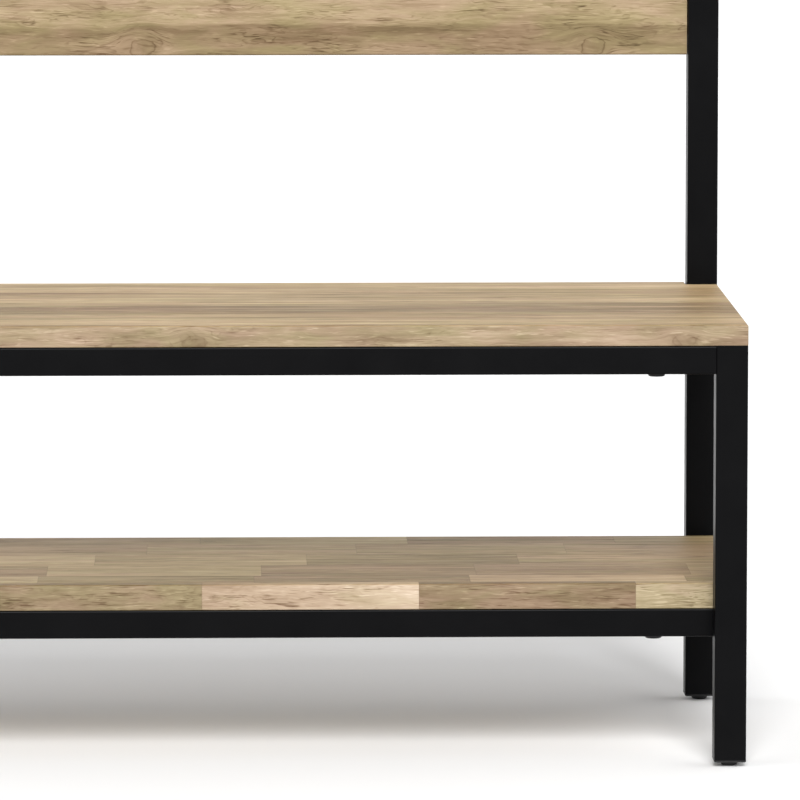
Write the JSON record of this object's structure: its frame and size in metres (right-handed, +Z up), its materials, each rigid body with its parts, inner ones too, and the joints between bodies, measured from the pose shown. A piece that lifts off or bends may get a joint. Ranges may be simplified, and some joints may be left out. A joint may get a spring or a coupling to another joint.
{
  "type": "entryway bench",
  "caption": "Entryway bench with a black square-tube steel frame, wooden seat, lower shoe shelf, wooden back rail and levelling feet.",
  "frame": {"origin": "on the floor, under the middle of the bench's width and depth", "axes": "+X along the bench towards its right end as seen from the front, +Y towards the wall behind it, +Z up"},
  "size_m": [1.066, 0.461, 0.864],
  "materials": {
    "powder_coated_steel": "satin black powder coat on welded square steel tube",
    "black_fasteners": "black oxide steel bolts, washers and screws",
    "zinc_fasteners": "bright zinc-plated steel inserts, nuts and threaded stems",
    "black_plastic": "black moulded polyethylene with a fine matt grain",
    "foot_nylon": "black nylon, matt",
    "seat_wood": "light brown solid wood, clear matt lacquer, long straight and cathedral grain",
    "shelf_wood": "butcher-block staves of mixed brown tones, clear matt lacquer",
    "back_rail_wood": "light brown solid wood with small knots, clear matt lacquer"
  },
  "bodies": {
    "bench": {"front_leg_left": "powder_coated_steel", "front_leg_right": "powder_coated_steel", "rear_post_left": "powder_coated_steel", "rear_post_right": "powder_coated_steel", "seat_rail_front": "powder_coated_steel", "seat_rail_rear": "powder_coated_steel", "seat_side_rail_left": "powder_coated_steel", "seat_side_rail_right": "powder_coated_steel", "shelf_rail_front": "powder_coated_steel", "shelf_rail_rear": "powder_coated_steel", "shelf_side_rail_left": "powder_coated_steel", "shelf_side_rail_right": "powder_coated_steel", "back_tab_left": "powder_coated_steel", "back_tab_right": "powder_coated_steel", "side_frame_welds": "powder_coated_steel", "rail_end_plates": "powder_coated_steel", "seat_bolts": "black_fasteners", "seat_washers": "black_fasteners", "shelf_bolts": "black_fasteners", "shelf_washers": "black_fasteners", "frame_bolts": "black_fasteners", "back_rail_screws": "black_fasteners", "seat_inserts": "zinc_fasteners", "shelf_inserts": "zinc_fasteners", "frame_weld_nuts": "zinc_fasteners", "post_cap_left": "black_plastic", "post_cap_right": "black_plastic", "leg_top_plugs": "black_plastic", "foot_plug_front_left": "black_plastic", "foot_plug_front_right": "black_plastic", "foot_plug_rear_left": "black_plastic", "foot_plug_rear_right": "black_plastic", "seat_board": "seat_wood", "shelf_board": "shelf_wood", "back_rail": "back_rail_wood"},
    "foot_front_left": {"foot_pad_front_left": "foot_nylon", "foot_stem_front_left": "zinc_fasteners"},
    "foot_front_right": {"foot_pad_front_right": "foot_nylon", "foot_stem_front_right": "zinc_fasteners"},
    "foot_rear_left": {"foot_pad_rear_left": "foot_nylon", "foot_stem_rear_left": "zinc_fasteners"},
    "foot_rear_right": {"foot_pad_rear_right": "foot_nylon", "foot_stem_rear_right": "zinc_fasteners"}
  },
  "joints": [
    {"name": "foot_front_left_height", "type": "slide", "parent": "bench", "child": "foot_front_left", "axis": [0, 0, -1], "range_m": [0, 0.01]},
    {"name": "foot_front_right_height", "type": "slide", "parent": "bench", "child": "foot_front_right", "axis": [0, 0, -1], "range_m": [0, 0.01]},
    {"name": "foot_rear_left_height", "type": "slide", "parent": "bench", "child": "foot_rear_left", "axis": [0, 0, -1], "range_m": [0, 0.01]},
    {"name": "foot_rear_right_height", "type": "slide", "parent": "bench", "child": "foot_rear_right", "axis": [0, 0, -1], "range_m": [0, 0.01]}
  ]
}
